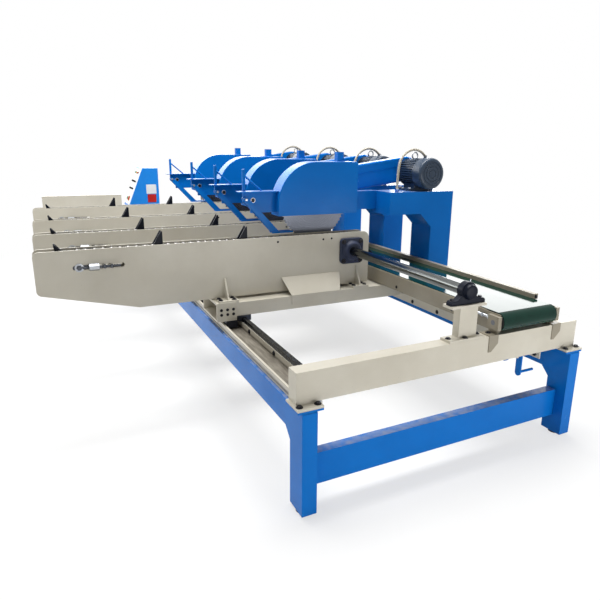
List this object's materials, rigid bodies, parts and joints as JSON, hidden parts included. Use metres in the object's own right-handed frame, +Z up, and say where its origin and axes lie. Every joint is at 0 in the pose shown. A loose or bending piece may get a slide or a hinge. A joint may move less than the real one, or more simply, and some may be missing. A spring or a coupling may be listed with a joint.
{
  "type": "multi head saw",
  "caption": "Long steel bench with chain infeed arms, hooded crosscut saw heads on sliding carriages over rails, a shared chain drive shaft, an outfeed belt and a console",
  "frame": {"origin": "on the floor, under the middle of the bounding box", "axes": "+X along the board feed from the chain arms to the belt, +Y along the rails away from the hand lever's end, +Z up"},
  "size_m": [2.388, 4.326, 1.4019],
  "materials": {
    "blue_paint": "gloss enamel",
    "cream_paint": "satin enamel",
    "conveyor_paint": "satin enamel",
    "bearing_iron": "painted dark",
    "chain_steel": "oiled",
    "wheel_steel": "machined",
    "guide_steel": "ground",
    "bright_steel": "ground",
    "blade_steel": "ground",
    "roller_steel": "turned",
    "dark_fasteners": "black oxide",
    "motor_grey": "painted grey",
    "belt_rubber": "smooth green",
    "stop_red": "gloss",
    "start_green": "gloss"
  },
  "bodies": {
    "base": {"left_side_frame": "blue_paint", "right_side_frame": "blue_paint", "cross_beams": "blue_paint", "frame_hardware": "dark_fasteners", "end_beams": "cream_paint", "shaft_pedestals": "cream_paint", "rails": "cream_paint", "guide_rails": "guide_steel", "pillow_blocks": "bearing_iron", "chain_gearmotor": "motor_grey", "conveyor_frame": "conveyor_paint", "conveyor_belt": "belt_rubber", "fixed_arm": "cream_paint", "console": "blue_paint"},
    "drive_shaft": {"drive_shaft": "bright_steel"},
    "belt_drive_roller": {"belt_drive_roller": "roller_steel"},
    "belt_tail_roller": {"belt_tail_roller": "roller_steel"},
    "hand_lever": {"hand_lever": "blue_paint"},
    "emergency_stop": {"emergency_stop": "stop_red"},
    "start_button": {"start_button": "start_green"},
    "unit_1": {"carriage_1": "cream_paint", "arm_1": "cream_paint", "chain_set_1": "chain_steel", "stand_1": "blue_paint", "hood_1": "blue_paint", "motor_1": "motor_grey"},
    "drive_sprocket_1": {"drive_sprocket_1": "wheel_steel"},
    "tail_sprocket_1": {"tail_sprocket_1": "wheel_steel"},
    "blade_1": {"blade_1": "blade_steel"},
    "hold_down_1": {"hold_down_1": "blue_paint"},
    "unit_2": {"carriage_2": "cream_paint", "arm_2": "cream_paint", "chain_set_2": "chain_steel", "stand_2": "blue_paint", "hood_2": "blue_paint", "motor_2": "motor_grey"},
    "drive_sprocket_2": {"drive_sprocket_2": "wheel_steel"},
    "tail_sprocket_2": {"tail_sprocket_2": "wheel_steel"},
    "blade_2": {"blade_2": "blade_steel"},
    "hold_down_2": {"hold_down_2": "blue_paint"},
    "unit_3": {"carriage_3": "cream_paint", "arm_3": "cream_paint", "chain_set_3": "chain_steel", "stand_3": "blue_paint", "hood_3": "blue_paint", "motor_3": "motor_grey"},
    "drive_sprocket_3": {"drive_sprocket_3": "wheel_steel"},
    "tail_sprocket_3": {"tail_sprocket_3": "wheel_steel"},
    "blade_3": {"blade_3": "blade_steel"},
    "hold_down_3": {"hold_down_3": "blue_paint"},
    "unit_4": {"carriage_4": "cream_paint", "arm_4": "cream_paint", "chain_set_4": "chain_steel", "stand_4": "blue_paint", "hood_4": "blue_paint", "motor_4": "motor_grey"},
    "drive_sprocket_4": {"drive_sprocket_4": "wheel_steel"},
    "tail_sprocket_4": {"tail_sprocket_4": "wheel_steel"},
    "blade_4": {"blade_4": "blade_steel"},
    "hold_down_4": {"hold_down_4": "blue_paint"}
  },
  "joints": [
    {"name": "drive_shaft_turn", "type": "hinge", "parent": "base", "child": "drive_shaft", "pos_m": [0.449, -0.168, 0.82], "axis": [0, 1, 0], "continuous": true},
    {"name": "belt_drive_turn", "type": "hinge", "parent": "base", "child": "belt_drive_roller", "pos_m": [0.804, 1.762, 0.656], "axis": [1, 0, 0], "continuous": true},
    {"name": "belt_tail_turn", "type": "hinge", "parent": "base", "child": "belt_tail_roller", "pos_m": [0.804, -2.098, 0.656], "axis": [1, 0, 0], "continuous": true},
    {"name": "hand_lever_swing", "type": "hinge", "parent": "base", "child": "hand_lever", "pos_m": [0.906, -2.006, 0.442], "axis": [1, 0, 0], "range_deg": [-60, 60]},
    {"name": "emergency_stop_press", "type": "slide", "parent": "base", "child": "emergency_stop", "axis": [0.9249, 0, -0.3801], "range_m": [0, 0.005], "stiffness_N_per_m": 400, "springref_m": -0.006},
    {"name": "start_button_press", "type": "slide", "parent": "base", "child": "start_button", "axis": [0.9249, 0, -0.3801], "range_m": [0, 0.005], "stiffness_N_per_m": 400, "springref_m": -0.006},
    {"name": "unit_1_slide", "type": "slide", "parent": "base", "child": "unit_1", "axis": [0, 1, 0], "range_m": [-0.6, 0.08]},
    {"name": "drive_sprocket_1_turn", "type": "hinge", "parent": "unit_1", "child": "drive_sprocket_1", "pos_m": [0.449, -1.053, 0.82], "axis": [0, 1, 0], "continuous": true},
    {"name": "tail_sprocket_1_turn", "type": "hinge", "parent": "unit_1", "child": "tail_sprocket_1", "pos_m": [-1.006, -1.053, 0.843], "axis": [0, 1, 0], "continuous": true},
    {"name": "blade_1_spin", "type": "hinge", "parent": "unit_1", "child": "blade_1", "pos_m": [0.256, -0.983, 1.085], "axis": [0, 1, 0], "continuous": true},
    {"name": "hold_down_1_lift", "type": "hinge", "parent": "unit_1", "child": "hold_down_1", "pos_m": [-0.152, -0.983, 1.122], "axis": [0, -1, 0], "range_deg": [0, 9]},
    {"name": "unit_2_slide", "type": "slide", "parent": "base", "child": "unit_2", "axis": [0, 1, 0], "range_m": [-0.08, 0.09]},
    {"name": "drive_sprocket_2_turn", "type": "hinge", "parent": "unit_2", "child": "drive_sprocket_2", "pos_m": [0.449, -0.528, 0.82], "axis": [0, 1, 0], "continuous": true},
    {"name": "tail_sprocket_2_turn", "type": "hinge", "parent": "unit_2", "child": "tail_sprocket_2", "pos_m": [-1.006, -0.528, 0.843], "axis": [0, 1, 0], "continuous": true},
    {"name": "blade_2_spin", "type": "hinge", "parent": "unit_2", "child": "blade_2", "pos_m": [0.256, -0.458, 1.085], "axis": [0, 1, 0], "continuous": true},
    {"name": "hold_down_2_lift", "type": "hinge", "parent": "unit_2", "child": "hold_down_2", "pos_m": [-0.152, -0.458, 1.122], "axis": [0, -1, 0], "range_deg": [0, 9]},
    {"name": "unit_3_slide", "type": "slide", "parent": "base", "child": "unit_3", "axis": [0, 1, 0], "range_m": [-0.09, 0.15]},
    {"name": "drive_sprocket_3_turn", "type": "hinge", "parent": "unit_3", "child": "drive_sprocket_3", "pos_m": [0.449, 0.052, 0.82], "axis": [0, 1, 0], "continuous": true},
    {"name": "tail_sprocket_3_turn", "type": "hinge", "parent": "unit_3", "child": "tail_sprocket_3", "pos_m": [-1.006, 0.052, 0.843], "axis": [0, 1, 0], "continuous": true},
    {"name": "blade_3_spin", "type": "hinge", "parent": "unit_3", "child": "blade_3", "pos_m": [0.256, 0.122, 1.085], "axis": [0, 1, 0], "continuous": true},
    {"name": "hold_down_3_lift", "type": "hinge", "parent": "unit_3", "child": "hold_down_3", "pos_m": [-0.152, 0.122, 1.122], "axis": [0, -1, 0], "range_deg": [0, 9]},
    {"name": "unit_4_slide", "type": "slide", "parent": "base", "child": "unit_4", "axis": [0, 1, 0], "range_m": [-0.15, 0.25]},
    {"name": "drive_sprocket_4_turn", "type": "hinge", "parent": "unit_4", "child": "drive_sprocket_4", "pos_m": [0.449, 0.757, 0.82], "axis": [0, 1, 0], "continuous": true},
    {"name": "tail_sprocket_4_turn", "type": "hinge", "parent": "unit_4", "child": "tail_sprocket_4", "pos_m": [-1.006, 0.757, 0.843], "axis": [0, 1, 0], "continuous": true},
    {"name": "blade_4_spin", "type": "hinge", "parent": "unit_4", "child": "blade_4", "pos_m": [0.256, 0.827, 1.085], "axis": [0, 1, 0], "continuous": true},
    {"name": "hold_down_4_lift", "type": "hinge", "parent": "unit_4", "child": "hold_down_4", "pos_m": [-0.152, 0.827, 1.122], "axis": [0, -1, 0], "range_deg": [0, 9]}
  ],
  "couplings": [
    {"joint": "belt_tail_turn", "follows": "belt_drive_turn", "ratio": 1},
    {"joint": "drive_sprocket_1_turn", "follows": "drive_shaft_turn", "ratio": 1},
    {"joint": "tail_sprocket_1_turn", "follows": "drive_shaft_turn", "ratio": 1.3194},
    {"joint": "drive_sprocket_2_turn", "follows": "drive_shaft_turn", "ratio": 1},
    {"joint": "tail_sprocket_2_turn", "follows": "drive_shaft_turn", "ratio": 1.3194},
    {"joint": "drive_sprocket_3_turn", "follows": "drive_shaft_turn", "ratio": 1},
    {"joint": "tail_sprocket_3_turn", "follows": "drive_shaft_turn", "ratio": 1.3194},
    {"joint": "drive_sprocket_4_turn", "follows": "drive_shaft_turn", "ratio": 1},
    {"joint": "tail_sprocket_4_turn", "follows": "drive_shaft_turn", "ratio": 1.3194}
  ]
}
